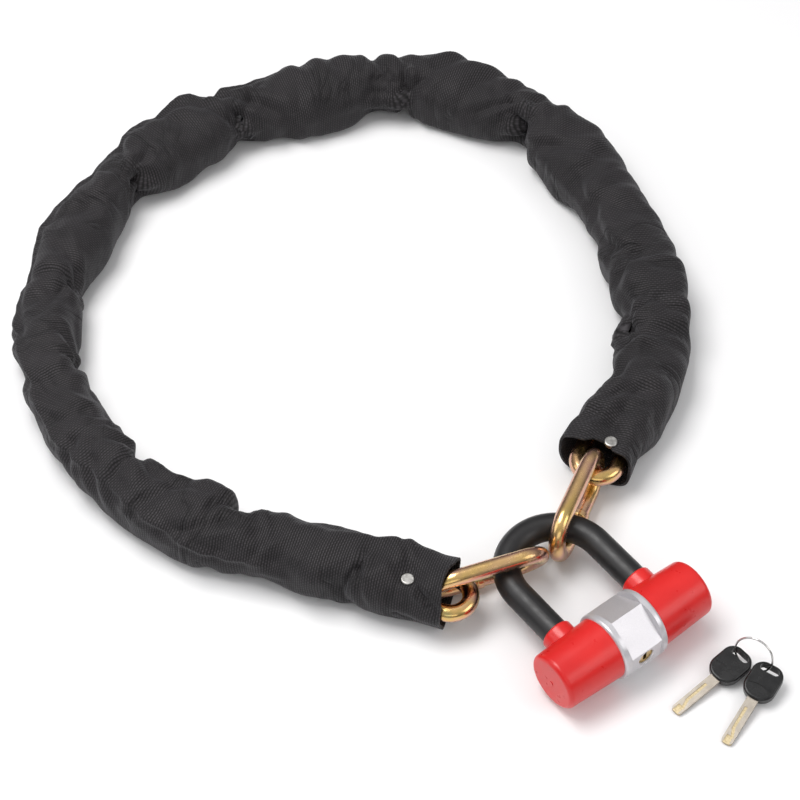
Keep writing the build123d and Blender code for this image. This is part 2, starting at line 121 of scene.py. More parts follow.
# ------------------------------------------------------------------ sleeve sections
# One entry every SECTION_STEP along the chain: left half width, left corner, right half
# width, right corner. A corner's size is its squareness; its sign says whether the upper
# (+) or the lower (-) corner has it.
SECTIONS = (
    (31, 3.6, 25.5, -3), (31, 3.6, 25.5, -3), (30.5, 4, 24, -2.6), (28.2, 5, 25.8, -2.2),
    (28.1, 3.6, 28.2, -2.2), (26.4, 2.2, 28.6, -5), (22.9, 2.2, 30.5, -5), (22.3, 2.2, 31.7, -5),
    (19.7, 2.2, 32, -5), (18.2, 2.2, 31.6, -5), (19.1, 2.2, 32, -5), (19.1, 2.2, 32, -5),
    (17.3, 2.2, 32, -5), (15, 2.2, 32, -5), (16.9, -2.2, 31.7, 5), (17.1, -2.2, 29.1, 5),
    (20.1, -2.2, 28.4, 4.2), (26.2, -2.2, 28.5, 3.6), (27.4, -2.2, 28.3, 4.2), (27.5, -2.2, 28.3, 4.2),
    (28.1, -2.2, 28, 3.6), (28.1, -5, 27.9, 3), (28.4, -5, 27.8, 2.2), (27.9, -3, 25.7, 2.2),
    (27.8, -2.6, 26.2, 2.2), (27.7, -2.2, 24.5, 2.2), (26, -2.2, 23, 2.2), (24.7, -2.2, 22.5, 2.2),
    (26.7, -2.2, 23.3, 2.2), (27.4, -2.6, 25.4, 2.2), (27.8, -3.6, 27.5, 2.2), (28.6, -5, 28.1, 2.2),
    (29.9, -5, 27.5, 2.6), (30.2, -5, 28.5, 3), (28.2, -4.2, 27.6, 4.2), (27.8, -4.2, 28.4, 3),
    (28.4, -2.2, 27.4, 2.2), (22, -2.2, 26.9, 2.2), (6.4, -2.2, 24.3, 2.2), (6, -2.2, 24.7, 2.2),
    (17.6, -2.2, 26.5, 2.2), (25.1, -2.2, 26.3, 2.2), (27.7, -3, 26.7, 2.2), (27.4, -5, 27.7, 2.6),
    (30.7, -5, 27.4, 3), (30.9, -5, 26.9, 3.6), (29.1, -5, 28.4, 3.6), (27.5, -5, 28.5, 3.6),
    (27.2, -3.6, 27.7, 3), (21.1, -2.2, 26.6, 2.6), (12.4, -2.2, 27.3, 2.2), (18.8, -2.2, 26.4, 2.2),
    (15.8, -2.2, 26.4, 2.2), (16.3, -2.2, 26.9, 2.2), (26.5, -2.6, 27.2, 2.2), (29.2, -5, 27.6, 2.2),
    (32, -5, 26.1, 2.6), (32, -5, 26.5, 2.6), (32, -5, 26.2, 2.2), (32, -5, 25.7, 2.2),
    (32, -5, 25.3, 2.2), (27.7, -5, 23.1, 2.2), (27.4, -2.6, 23.1, 2.2), (24, -2.2, 17.8, 2.2),
    (16.9, -2.2, 19.6, 2.2), (14.6, -2.2, 23.4, 2.2), (20.3, -2.2, 24.8, 2.2), (26.2, -2.2, 28.1, 2.2),
    (28, -2.6, 28, 3.6), (27.5, -2.6, 28.1, 4.2), (28.2, -3.6, 27.8, 3.6), (28.3, -4.2, 28.2, 3),
    (27.9, -3.6, 28.4, 3), (27.2, -3, 27.4, 2.6), (24, -2.2, 27.1, 2.2), (11.9, -2.2, 23.6, 2.2),
    (6, -2.2, 21.4, 2.2), (13.3, -2.2, 22.3, 2.2), (18.4, -2.2, 22.3, 2.2), (21.3, -2.2, 22.9, 2.2),
    (23.7, -2.2, 24.3, 2.2), (25.4, -2.2, 25.5, 2.2), (26.7, -2.2, 26.7, 2.2), (27.7, -2.2, 27.6, 2.2),
    (27.5, -2.2, 27.4, 2.6), (26, -2.2, 26.9, 2.2), (23.5, -2.2, 25.3, 2.2), (20.8, -2.2, 23.1, 2.2),
    (17, -2.2, 22.7, 2.2), (11.7, -2.2, 22.9, 2.2), (19.1, -2.2, 22.7, 2.2), (20.7, -2.2, 25.1, 2.2),
    (20.6, -2.2, 27.8, 2.2), (19.8, -2.2, 28.5, 2.2), (19.1, -2.2, 28, 2.2), (18.3, -2.2, 26.5, 2.2),
    (17.6, -2.2, 25.7, 2.2), (16.5, 2.2, 24.9, -2.2), (17.5, 2.2, 23.8, -2.2), (20.9, 2.2, 23.5, -2.2),
    (18.4, 2.2, 24.1, -2.2), (19.9, 2.2, 25, -2.2), (22, 2.2, 26.2, -2.2), (21.4, 2.2, 25.7, -2.2),
    (21.2, 2.2, 24.7, -2.2), (21.4, 2.2, 25.9, -2.2), (22, 2.2, 26.7, -2.2), (20.9, 2.2, 24.8, -2.2),
    (16.8, 2.2, 24.1, -2.2), (17.9, 2.2, 26.7, -2.2), (20.4, 2.2, 27.7, -2.6), (21.9, 2.2, 27.6, -3.6),
    (21.5, 2.2, 27.7, -4.2), (23, 2.2, 28, -4.2), (27.1, 2.2, 27.9, -4.2), (27.5, 3, 28.5, -3.6),
    (27.4, 3, 28, -3.6), (24.5, 2.2, 28, -2.6), (12.5, 2.2, 26.6, -2.2), (15.9, 2.2, 23.7, -2.2),
    (24.5, 2.2, 20.7, -2.2), (26.2, 2.2, 21.1, -2.2), (25.6, 2.2, 21.3, -2.2), (24.3, 2.2, 23, -2.2),
    (26, 2.2, 23.7, -2.2), (27.9, 2.2, 23.2, -2.2), (26.9, 2.6, 21.1, -2.2), (27.3, 2.6, 19.1, -2.2),
    (27, 2.6, 13.8, -2.2), (27.9, 5, 10.3, -2.2), (28.1, 3.6, 6, -2.2), (28.1, 2.6, 6, -2.2),
    (27.9, 3, 7.9, -2.2), (26.8, 2.2, 10.4, -2.2),
)
FIRST_SECTION, SECTION_STEP = -4.0, 10.0
MOUTH_A, MOUTH_Z = 2.7, TOTAL + 13.7     # sleeve ends, measured along the chain
ROW_STEP, RING = 1.9, 112                # mesh rows along, points round
CLOTH_THICK = 1.15
MIN_HALF_WIDTH = 9.0
TOP_SQUARE, LOW_SQUARE = 2.3, 2.6        # least squareness of upper and lower corners
BELOW = 23.3                             # cloth height below the middle
MID_Z = 24.0
UNROLL_R = 24.0                          # radius on which the cloth is unrolled
AROUND = 2 * math.pi * UNROLL_R
rng = np.random.RandomState(7)


def bell(x, width, power=2):
    return np.exp(-(x / width) ** power)


def smooth(values, passes=3):
    for _ in range(passes):
        values = np.convolve(np.pad(values, 1, mode="edge"), [0.25, 0.5, 0.25], "valid")
    return values


rows = int(round((MOUTH_Z - MOUTH_A) / ROW_STEP))
row_s = np.linspace(MOUTH_A, MOUTH_Z, rows + 1)
sections = np.array(SECTIONS)
section_s = FIRST_SECTION + SECTION_STEP * np.arange(len(sections))


def on_rows(values):
    return np.interp(row_s, section_s, values)


def half_width(column):
    return smooth(np.maximum(on_rows(sections[:, column]), MIN_HALF_WIDTH))


def squareness(column):
    """Squareness of the upper and lower corner on one side."""
    power = on_rows(np.abs(sections[:, column]))
    upper = on_rows((sections[:, column] > 0).astype(float))
    top = smooth(TOP_SQUARE + (power - TOP_SQUARE) * upper)
    low = smooth(LOW_SQUARE + (np.maximum(power, LOW_SQUARE) - LOW_SQUARE) * (1 - upper))
    return top[:, None], low[:, None]


left_w, right_w = half_width(0), half_width(2)
# hold the right side out towards mouth Z
right_w = np.maximum(right_w, np.interp(row_s, [TOTAL - 130, TOTAL - 85], [0.0, 21.5]))
left_top, left_low = squareness(1)
right_top, right_low = squareness(3)

# height above the middle: a wave every pair of spans, more where the sleeve is wide,
# level at both mouths and pressed low at mouth A
wave = 1.3 * np.cos(2 * math.pi * (row_s - 168.5) / (2 * sum(HALF_SPANS)))
above = 22.6 + wave + np.clip(((left_w + right_w) / 2 - 25.0) * 0.35, -0.8, 2.2)
near_mouths = bell(row_s - MOUTH_A, 16.0) + bell(row_s - MOUTH_Z, 20.0)
above = above * (1 - near_mouths) + 24.6 * near_mouths
near_a = bell(np.maximum(row_s - MOUTH_A, 0), 24.0)
above = above * (1 - near_a) + 17.2 * near_a

# angle 0 faces left (inside the loop), a quarter turn faces up
S, ANGLE = np.meshgrid(row_s, np.arange(RING) / RING * 2 * math.pi, indexing="ij")
cos_a, sin_a = np.cos(ANGLE), np.sin(ANGLE)
is_left, is_top = cos_a >= 0, sin_a >= 0
reach_side = np.where(is_left, left_w[:, None], right_w[:, None])
reach_up = np.where(is_top, above[:, None], BELOW)
power = np.where(is_top, np.where(is_left, left_top, right_top),
                 np.where(is_left, left_low, right_low))
reach = (np.abs(cos_a) ** power + np.abs(sin_a) ** power) ** (-1 / power)
side = reach_side * reach * cos_a
z = MID_Z + reach_up * reach * sin_a


# ------------------------------------------------------------------ folds
def pick(value):
    """A number as it is, or a draw from a (low, high) range."""
    return rng.uniform(*value) if isinstance(value, tuple) else value


def fold(at, angle, turn, length, width, depth, bank=0.55):
    """A crease with soft banks on the unrolled cloth.

    Turn is in radians: 0 runs round the sleeve, a quarter turn runs along it.
    Bank is the height of the banks as a share of the depth.
    """
    across_s = S - at
    around = ((ANGLE - pick(angle) + math.pi) % (2 * math.pi) - math.pi) * UNROLL_R
    turn = pick(turn)
    half = pick(length) / 2
    width = pick(width)
    depth = pick(depth)
    along = around * math.cos(turn) + across_s * math.sin(turn)
    across = across_s * math.cos(turn) - around * math.sin(turn)
    across = across + 2.2 * np.sin(along / 17.0 + at)
    q = across / (width * (1 + 0.35 * np.abs(along) / half))
    shape = -bell(np.abs(q), 1, 1.35) + bank * bell(q - 1.7, 0.9) + bank * bell(q + 1.7, 0.9)
    return bell(np.abs(along), half, 3) * depth * shape


def ripples(along, around, height, count):
    """Smooth random field on the unrolled cloth, periodic round the sleeve."""
    out = np.zeros_like(S)
    for _ in range(count):
        lobes = rng.randint(0, max(1, int(AROUND / around)) + 1)
        rate = 2 * math.pi / (along * rng.uniform(0.7, 1.6))
        out += np.sin(S * rate + ANGLE * lobes * rng.choice([-1, 1]) + rng.uniform(0, 6.28))
    return out * height / math.sqrt(count)


relief = np.zeros_like(S)
# gathers on the inner side, wherever the left half width is tight and locally least
gathers = [row_s[i] for i in range(18, rows - 30)
           if left_w[i] < 21.5 and left_w[i] == left_w[max(0, i - 14):i + 15].min()]
for at in gathers:
    for n in (-1, 0, 1):
        turn = n * rng.uniform(0.35, 0.8) + rng.uniform(-0.15, 0.15)
        relief += fold(at + n * rng.uniform(3, 7), angle=(0.3, 0.8), turn=turn,
                       length=(54, 96), width=(2.8, 4.4), depth=(2.2, 3.6), bank=0.5)
    for n in range(5):
        relief += fold(at + rng.uniform(-16, 16), angle=(0.2, 1.5), turn=(-0.35, 0.35),
                       length=(18, 34), width=(1.7, 2.3), depth=(0.5, 0.95), bank=0.5)
    relief += fold(at, angle=0.25, turn=(-0.12, 0.12), length=60, width=5.0, depth=3.2,
                   bank=0.35)
# broader folds over the top and the outer side
at = 26.0
while at < TOTAL - 26:
    turn = rng.choice([-1, 1]) * rng.uniform(0.3, 1.0)
    relief += fold(at + rng.uniform(-10, 10), angle=(0.8, 2.6), turn=turn,
                   length=(60, 110), width=(3.8, 7.0), depth=(1.5, 2.9), bank=0.6)
    if rng.uniform() < 0.6:
        relief += fold(at + rng.uniform(-14, 14), angle=(2.0, 3.6), turn=(-0.5, 0.5),
                       length=(34, 60), width=(3.4, 5.4), depth=(1.0, 2.0), bank=0.45)
    if rng.uniform() < 0.5:
        relief += fold(at + rng.uniform(-14, 14), angle=(0.4, 2.4), turn=(-0.9, 0.9),
                       length=(24, 44), width=(2.2, 3.2), depth=(0.8, 1.5), bank=0.5)
    at += rng.uniform(24, 38)
# a long ridge with a hollow on each side, on the outer side above the middle
ridge = 2.62 + 0.22 * np.sin(row_s / 61.0) + 0.12 * np.sin(row_s / 23.0 + 1.0)
off_ridge = (ANGLE - ridge[:, None]) * UNROLL_R
fade = np.clip((row_s - 560) / 60, 0, 1) * np.clip((TOTAL - 90 - row_s) / 60, 0, 1)
relief += fade[:, None] * (1.9 * bell(off_ridge, 2.3) - 1.3 * bell(off_ridge + 6.0, 3.4)
                           - 0.8 * bell(off_ridge - 6.0, 3.4))
# lengthwise folds over the top
for n in range(16):
    relief += fold(rng.uniform(40, TOTAL - 40), angle=(0.5, 2.4),
                   turn=(math.pi / 2 - 0.3, math.pi / 2 + 0.3),
                   length=(60, 120), width=(4.0, 7.0), depth=(0.8, 1.8))
relief += (ripples(along=58, around=50, height=0.9, count=9)
           + ripples(along=26, around=26, height=0.22, count=8)
           + ripples(along=9, around=11, height=0.06, count=12))
# calmer cloth near the mouths
to_mouth = np.minimum(S - MOUTH_A, MOUTH_Z - S)
relief *= 0.45 + 0.55 * np.clip(to_mouth / 30.0, 0, 1)
# creases near the two mouths: place, angle, turn, length, width, depth, bank
MOUTH_FOLDS = (
    (MOUTH_A + 28, 1.74, math.pi / 2 + 0.05, 56, 6.2, 4.4, 0.8),
    (MOUTH_A + 32, 1.18, math.pi / 2 - 0.35, 44, 2.6, 2.9, 0.5),
    (MOUTH_A + 50, 1.45, 0.55, 46, 4.2, 3.5, 0.6),
    (MOUTH_Z - 22, 2.15, 1.01, 46, 2.4, 3.1, 0.6),
    (MOUTH_Z - 58, 2.2, 0.15, 40, 2.3, 2.8, 0.6),
    (MOUTH_Z - 66, 2.3, -0.25, 40, 2.3, 2.4, 0.6),
    (MOUTH_Z - 36, 1.2, 0.5, 34, 2.4, 2.0, 0.5),
)
for entry in MOUTH_FOLDS:
    relief += fold(*entry)
relief = np.clip(relief, -5.5, 3.2)
grow = 1 + relief / np.hypot(side, z - MID_Z)
side = side * grow
z = MID_Z + (z - MID_Z) * grow

# ------------------------------------------------------------------ rivets and hems
RIVET_SINK = 1.62            # cloth seat below the rivet's top
SEAT_R, SEAT_FADE = 4.6, 6.0
DISH_R, DISH_SLOPE = 5.2, 0.1
point, _, normal = line_at(row_s)
cloth_x = point[:, None, 0] + normal[:, None, 0] * side
cloth_y = point[:, None, 1] + normal[:, None, 1] * side
for name in ("rivet_a", "rivet_z"):
    low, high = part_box(name)
    away = np.hypot(cloth_x - (low.x + high.x) * 500, cloth_y - (low.y + high.y) * 500)
    pinch = bell(np.maximum(away - SEAT_R, 0), SEAT_FADE)
    seat = high.z * 1000 - RIVET_SINK + np.maximum(away - DISH_R, 0) * DISH_SLOPE
    z = np.where(sin_a > 0, z * (1 - pinch) + np.minimum(z, seat) * pinch, z)

# hems: the top middle of each mouth is set back, and the edges waver
HEM_REACH, HEM_POWER = 26.0, 1.6
hem_a = (6.0 * bell(side[0] - 1.0, 9.0, 4) * (sin_a[0] > 0)
         + 0.9 * np.sin(ANGLE[0] * 3 + 1.0))
hem_z = (-2.2 * bell(side[-1] + 2.0, 12.0, 4) * (sin_a[-1] > 0)
         + 0.9 * np.sin(ANGLE[-1] * 2 + 0.4))
CLOTH_S = (S + (hem_a * np.clip(1 - (S - MOUTH_A) / HEM_REACH, 0, 1) ** HEM_POWER
                + hem_z * np.clip(1 - (MOUTH_Z - S) / HEM_REACH, 0, 1) ** HEM_POWER))
point, _, normal = line_at(CLOTH_S.ravel())
plan = point + normal * side.ravel()[:, None]
outer = np.column_stack([plan, z.ravel()]).reshape(S.shape + (3,))


# ------------------------------------------------------------------ clearance
def chain_tree():
    """Search tree over the chain and end links, in millimetres."""
    verts, faces = [], []
    base = 0
    for name, ob in nodes.items():
        if not name.startswith(("link_", "links_", "end_link")):
            continue
        mesh = ob.data
        co = np.empty(len(mesh.vertices) * 3)
        mesh.vertices.foreach_get("co", co)
        mesh.calc_loop_triangles()
        tris = np.empty(len(mesh.loop_triangles) * 3, dtype=np.int64)
        mesh.loop_triangles.foreach_get("vertices", tris)
        verts.append(co.reshape(-1, 3) * 1000.0)
        faces.append(tris.reshape(-1, 3) + base)
        base += len(mesh.vertices)
    return BVHTree.FromPolygons(np.vstack(verts).tolist(), np.vstack(faces).tolist())


def outward(grid):
    """Unit normals of the tube, pointing out."""
    n = np.cross(np.gradient(grid, axis=0), np.roll(grid, -1, 1) - np.roll(grid, 1, 1))
    n /= np.linalg.norm(n, axis=2)[..., None] + 1e-9
    if ((grid - grid.mean(axis=1, keepdims=True)) * n).sum() < 0:
        n = -n
    return n


def spread(push):
    """Carry each push on to its neighbours, so the cloth drapes over the link."""
    wide = push
    for _ in range(5):
        padded = np.pad(wide, ((1, 1), (0, 0)), mode="edge")
        around = np.roll(wide, 1, 1) + np.roll(wide, -1, 1)
        wide = np.maximum(push, 0.25 * (around + padded[:-2] + padded[2:]))
    return wide


SEARCH_R, ENOUGH = 9.0, 0.05
FLOOR_GAP, TOP_Z = 0.35, 56.0
INNER_FLOOR_GAP = 1.3
# more room at mouth Z, round end link Z
clearance = (0.9 + 2.3 * bell(np.maximum(MOUTH_Z - S, 0), 20.0, 4)).ravel()
tree = chain_tree()
for _ in range(5):
    normal = outward(outer)
    push = np.zeros(S.size)
    for i, spot in enumerate((outer - normal * CLOTH_THICK).reshape(-1, 3)):
        hit, hit_normal, _, gap = tree.find_nearest(spot, SEARCH_R)
        if hit is None:
            continue
        if float((spot - np.array(hit)) @ np.array(hit_normal)) <= 0:
            gap = -gap
        if gap < clearance[i]:
            push[i] = clearance[i] - gap
    if push.max() < ENOUGH:
        break
    outer = outer + normal * spread(push.reshape(S.shape))[..., None]
    outer[..., 2] = np.maximum(outer[..., 2], FLOOR_GAP)
outer[..., 2] = np.clip(outer[..., 2], FLOOR_GAP, TOP_Z)

# the inner skin, thicker at the hems
seam_normal = outward(outer)
normal = seam_normal
for _ in range(2):
    normal = normal + 0.5 * (np.roll(normal, 1, 1) + np.roll(normal, -1, 1))
    normal /= np.linalg.norm(normal, axis=2)[..., None]
hem = 1 + 0.55 * bell(to_mouth, 7.0, 4)
inner = outer - normal * (CLOTH_THICK * hem)[..., None]
inner[..., 2] = np.maximum(inner[..., 2], INNER_FLOOR_GAP)


# ------------------------------------------------------------------ sleeve pieces
def set_uv(mesh, name, u, v):
    layer = mesh.uv_layers.new(name=name)
    layer.data.foreach_set("uv", np.column_stack([u, v]).astype(np.float32).ravel())


def sleeve_piece(name, first, last):
    """A closed double-skinned length of the sleeve between two rows."""
    cut = slice(first, last + 1)
    skin = (last - first + 1) * RING
    co = np.vstack([outer[cut].reshape(-1, 3), inner[cut].reshape(-1, 3)]) / 1000.0
    here = np.arange(skin).reshape(-1, RING)
    beside = np.roll(here, -1, 1)
    corners = (here[:-1], here[1:], beside[1:], beside[:-1])
    outside = np.stack(corners, -1).reshape(-1, 4)
    inside = np.stack((corners[0],) + corners[:0:-1], -1).reshape(-1, 4) + skin
    start = np.stack([here[0], beside[0], beside[0] + skin, here[0] + skin], -1)
    end = np.stack([here[-1], here[-1] + skin, beside[-1] + skin, beside[-1]], -1)
    quads = np.vstack([outside, inside, start, end])
    a, b, c = co[outside[0]][:3]
    if np.cross(b - a, c - a) @ seam_normal[first, 0] < 0:
        quads = quads[:, ::-1]
    mesh = bpy.data.meshes.new(name)
    mesh.from_pydata(co.tolist(), [], quads.tolist())
    mesh.update()

    vert = np.empty(len(mesh.loops), dtype=np.int64)
    mesh.loops.foreach_get("vertex_index", vert)
    face = np.arange(len(vert)) // 4
    angle = np.tile(ANGLE[cut].ravel(), 2)[vert]
    around = np.tile((ANGLE * UNROLL_R)[cut].ravel(), 2)[vert]
    # close the unrolled pattern where the ring meets itself
    face_max = np.maximum.reduceat(around, np.arange(0, len(around), 4))[face]
    around = around + (face_max - around > AROUND / 2) * AROUND
    set_uv(mesh, "cloth", np.tile(CLOTH_S[cut].ravel(), 2)[vert], around)
    set_uv(mesh, "ring", UNROLL_R * np.cos(angle), UNROLL_R * np.sin(angle))
    mesh.polygons.foreach_set("use_smooth", np.ones(len(mesh.polygons), dtype=bool))

    # skins share the whole sleeve's normals, so cuts between pieces don't show
    skin_normal = seam_normal[cut].reshape(-1, 3)
    loop_normal = np.vstack([skin_normal, -skin_normal])[vert]
    face_normal = np.empty(len(mesh.polygons) * 3)
    mesh.polygons.foreach_get("normal", face_normal)
    face_normal = face_normal.reshape(-1, 3)[face]
    is_end = face >= len(outside) + len(inside)
    loop_normal = np.where(is_end[:, None], face_normal, loop_normal)
    mesh.normals_split_custom_set(loop_normal.tolist())
    ob = bpy.data.objects.new(name, mesh)
    bpy.context.scene.collection.objects.link(ob)
    return ob


# ------------------------------------------------------------------ materials
class Nodes:
    """Builds the node tree of a material or world."""

    def __init__(self, owner):
        owner.use_nodes = True
        self.owner = owner
        self.tree = owner.node_tree

    def feed(self, value, socket):
        """Link a socket, or set a plain value."""
        if isinstance(value, bpy.types.NodeSocket):
            self.tree.links.new(value, socket)
        elif isinstance(value, tuple) and socket.type == "RGBA":
            socket.default_value = (*value, 1.0)
        else:
            socket.default_value = value

    def new(self, kind, inputs=None, **props):
        node = self.tree.nodes.new(kind)
        for key, value in props.items():
            setattr(node, key, value)
        for key, value in (inputs or {}).items():
            if value is not None:
                self.feed(value, node.inputs[key])
        return node

    def coords(self):
        return self.new("ShaderNodeTexCoord").outputs["Object"]

    def uv(self, name):
        return self.new("ShaderNodeUVMap", uv_map=name).outputs[0]

    def xyz(self, vector):
        return self.new("ShaderNodeSeparateXYZ", {0: vector}).outputs

    def noise(self, vector, scale, detail=3.0, rough=0.55, dist=0.0):
        return self.new("ShaderNodeTexNoise", {
            "Scale": scale, "Detail": detail, "Roughness": rough, "Distortion": dist,
            "Vector": vector}).outputs["Fac"]

    def math(self, operation, a, b=None):
        return self.new("ShaderNodeMath", {0: a, 1: b}, operation=operation).outputs[0]

    def add(self, a, b):
        return self.math("ADD", a, b)

    def sub(self, a, b):
        return self.math("SUBTRACT", a, b)

    def mul(self, a, b):
        return self.math("MULTIPLY", a, b)

    def ramp(self, fac, stops):
        """Colour ramp through (position, colour) stops."""
        node = self.new("ShaderNodeValToRGB", {"Fac": fac})
        elements = node.color_ramp.elements
        while len(elements) < len(stops):
            elements.new(0.5)
        for element, (position, color) in zip(elements, stops):
            element.position = position
            element.color = (*color, 1.0)
        return node.outputs["Color"]

    def mix(self, fac, a, b, blend="MIX"):
        """Colour a where fac is 0, colour b where it is 1."""
        return self.new("ShaderNodeMix", {0: fac, 6: a, 7: b},
                        data_type="RGBA", blend_type=blend).outputs[2]

    def remap(self, value, source, target):
        """Carry the source (low, high) span on to the target span."""
        return self.new("ShaderNodeMapRange", {
            "From Min": source[0], "From Max": source[1],
            "To Min": target[0], "To Max": target[1], "Value": value}).outputs[0]

    def bump(self, height, strength, distance, normal=None):
        return self.new("ShaderNodeBump", {
            "Strength": strength, "Distance": distance, "Height": height,
            "Normal": normal}).outputs["Normal"]

    def finish(self, **inputs):
        """Feed the surface shader and return the material."""
        shader = self.tree.nodes["Principled BSDF"]
        for key, value in inputs.items():
            self.feed(value, shader.inputs[key.replace("_", " ")])
        return self.owner


def new_material(name):
    return Nodes(bpy.data.materials.new(name))


def cloth():
    m = new_material("woven_sleeve")
    along, around, _ = m.xyz(m.uv("cloth"))
    co = m.coords()
    # weave: ribs across the sleeve, crossed by threads, slightly wobbly
    rib_pitch, thread_pitch = 1.75, 1.3
    wobble = m.mul(m.sub(m.noise(co, scale=60.0, detail=2.0), 0.5), 1.6)
    u = m.add(along, wobble)
    v = m.add(around, m.mul(wobble, 0.8))
    wave_u = m.math("SINE", m.mul(u, math.pi / rib_pitch))
    wave_v = m.math("SINE", m.mul(v, math.pi / thread_pitch))
    rib = m.math("ABSOLUTE", wave_u)
    cell = m.add(m.mul(m.mul(wave_u, wave_v), 0.5), 0.5)
    dots = m.math("ABSOLUTE", wave_v)
    weave = m.add(m.mul(rib, 0.56), m.add(m.mul(cell, 0.26), m.mul(dots, 0.18)))
    fuzzy = m.add(weave, m.mul(m.noise(co, scale=2600.0, detail=2.0), 0.25))
    wear = m.noise(co, scale=22.0, detail=4.0, rough=0.6)
    thread = m.noise(co, scale=420.0, detail=2.0)
    # painted highlight on the raised threads and painted shade in the gaps between them: the weave height sets the
    # colour from near black to lighter grey
    base = m.ramp(weave, [(0.12, (0.0026, 0.0022, 0.0024)), (0.52, (0.0085, 0.0074, 0.0079)),
                          (0.92, (0.0410, 0.0375, 0.0415))])
    tint = m.ramp(m.add(m.mul(wear, 0.6), m.mul(thread, 0.4)),
                  [(0.3, (0.72, 0.72, 0.74)), (0.7, (1.28, 1.25, 1.24))])
    color = m.mix(1.0, base, tint, "MULTIPLY")
    # soft creases running round the sleeve, in patches
    _, ring_x, ring_y = None, *m.xyz(m.uv("ring"))[:2]

    def stretched(along_scale, ring_scale):
        return m.new("ShaderNodeCombineXYZ", {
            0: m.mul(along, along_scale), 1: m.mul(ring_x, ring_scale),
            2: m.mul(ring_y, ring_scale)}).outputs[0]

    fine = stretched(along_scale=0.050, ring_scale=0.019)
    slow = stretched(along_scale=0.016, ring_scale=0.024)
    wrinkle = m.noise(fine, scale=1.0, detail=2.5, rough=0.5, dist=0.7)
    patch = m.remap(m.noise(slow, scale=1.0, detail=1.0), (0.42, 0.60), (0.12, 1.0))
    line = m.sub(1.0, m.math("ABSOLUTE", m.sub(m.mul(wrinkle, 2.0), 1.0)))
    line = m.mul(m.math("POWER", line, 9.0), patch)
    crease = m.sub(m.mul(wrinkle, m.mul(patch, 1.6)), m.mul(line, 0.55))
    color = m.mix(m.mul(line, 0.45), color, (0.0022, 0.0019, 0.0020))    # painted shade along the crease lines
    normal = m.bump(crease, strength=0.65, distance=0.0038)
    normal = m.bump(m.noise(co, scale=130.0), strength=0.22, distance=0.0016, normal=normal)
    normal = m.bump(fuzzy, strength=0.80, distance=0.00042, normal=normal)
    return m.finish(Base_Color=color, Roughness=m.remap(weave, (0.1, 1.0), (0.82, 0.60)),
                    Normal=normal, Sheen_Weight=0.10, Sheen_Roughness=0.45,
                    Sheen_Tint=(0.75, 0.75, 0.8), Specular_IOR_Level=0.30)


def red():
    m = new_material("red_plastic")
    co = m.coords()
    big = m.noise(co, scale=30.0)
    fine = m.noise(co, scale=1900.0, detail=2.0)
    color = m.mix(m.remap(big, (0.3, 0.7), (0.0, 1.0)), (0.60, 0.010, 0.010),
                  (0.70, 0.016, 0.014))
    specks = m.remap(m.noise(co, scale=900.0, detail=1.0), (0.76, 0.80), (0.0, 0.18))
    color = m.mix(specks, color, (0.86, 0.10, 0.085))    # pale specks
    rough = m.add(m.remap(m.noise(co, scale=120.0, detail=4.0), (0.3, 0.7), (0.24, 0.34)),
                  m.mul(fine, 0.05))
    normal = m.bump(m.noise(co, scale=42.0, detail=1.0), strength=0.06, distance=0.0012)
    normal = m.bump(fine, strength=0.12, distance=0.00012, normal=normal)
    return m.finish(Base_Color=color, Roughness=rough, Normal=normal, Specular_IOR_Level=0.42,
                    Subsurface_Weight=0.08, Subsurface_Radius=(0.004, 0.0008, 0.0006),
                    Coat_Weight=0.12, Coat_Roughness=0.22)


def silver():
    m = new_material("silver_paint")
    co = m.coords()
    cells = m.new("ShaderNodeTexVoronoi", {"Scale": 4200.0, "Vector": co}, feature="F1")
    flake = m.new("ShaderNodeSeparateColor", {0: cells.outputs["Color"]}).outputs
    color = m.ramp(flake[0], [(0.0, (0.56, 0.545, 0.57)), (0.6, (0.60, 0.585, 0.61)),
                              (1.0, (0.65, 0.635, 0.66))])
    haze = m.noise(co, scale=40.0)
    color = m.mix(m.remap(haze, (0.35, 0.75), (0.0, 0.25)), color, (0.66, 0.645, 0.67))
    normal = m.bump(m.noise(co, scale=90.0), strength=0.12, distance=0.0008)
    normal = m.bump(flake[1], strength=0.02, distance=0.00006, normal=normal)
    return m.finish(Base_Color=color, Metallic=0.5,
                    Roughness=m.remap(haze, (0.3, 0.7), (0.30, 0.38)), Normal=normal,
                    Coat_Weight=0.25, Coat_Roughness=0.25)


def vinyl():
    m = new_material("black_vinyl")
    co = m.coords()
    broad = m.noise(co, scale=35.0, detail=4.0)
    fine = m.noise(co, scale=900.0, detail=2.0)
    color = m.ramp(broad, [(0.25, (0.0075, 0.007, 0.0075)), (0.75, (0.015, 0.0142, 0.015))])
    scuff = m.remap(m.noise(co, scale=75.0, detail=6.0, rough=0.75, dist=1.2),
                    (0.60, 0.72), (0.0, 0.10))
    color = m.mix(scuff, color, (0.085, 0.08, 0.08))    # grey scuffs
    rough = m.remap(m.noise(co, scale=140.0), (0.3, 0.7), (0.36, 0.48))
    normal = m.bump(m.noise(co, scale=120.0), strength=0.14, distance=0.0008)
    normal = m.bump(fine, strength=0.12, distance=0.00015, normal=normal)
    return m.finish(Base_Color=color, Roughness=rough, Normal=normal, Specular_IOR_Level=0.45)


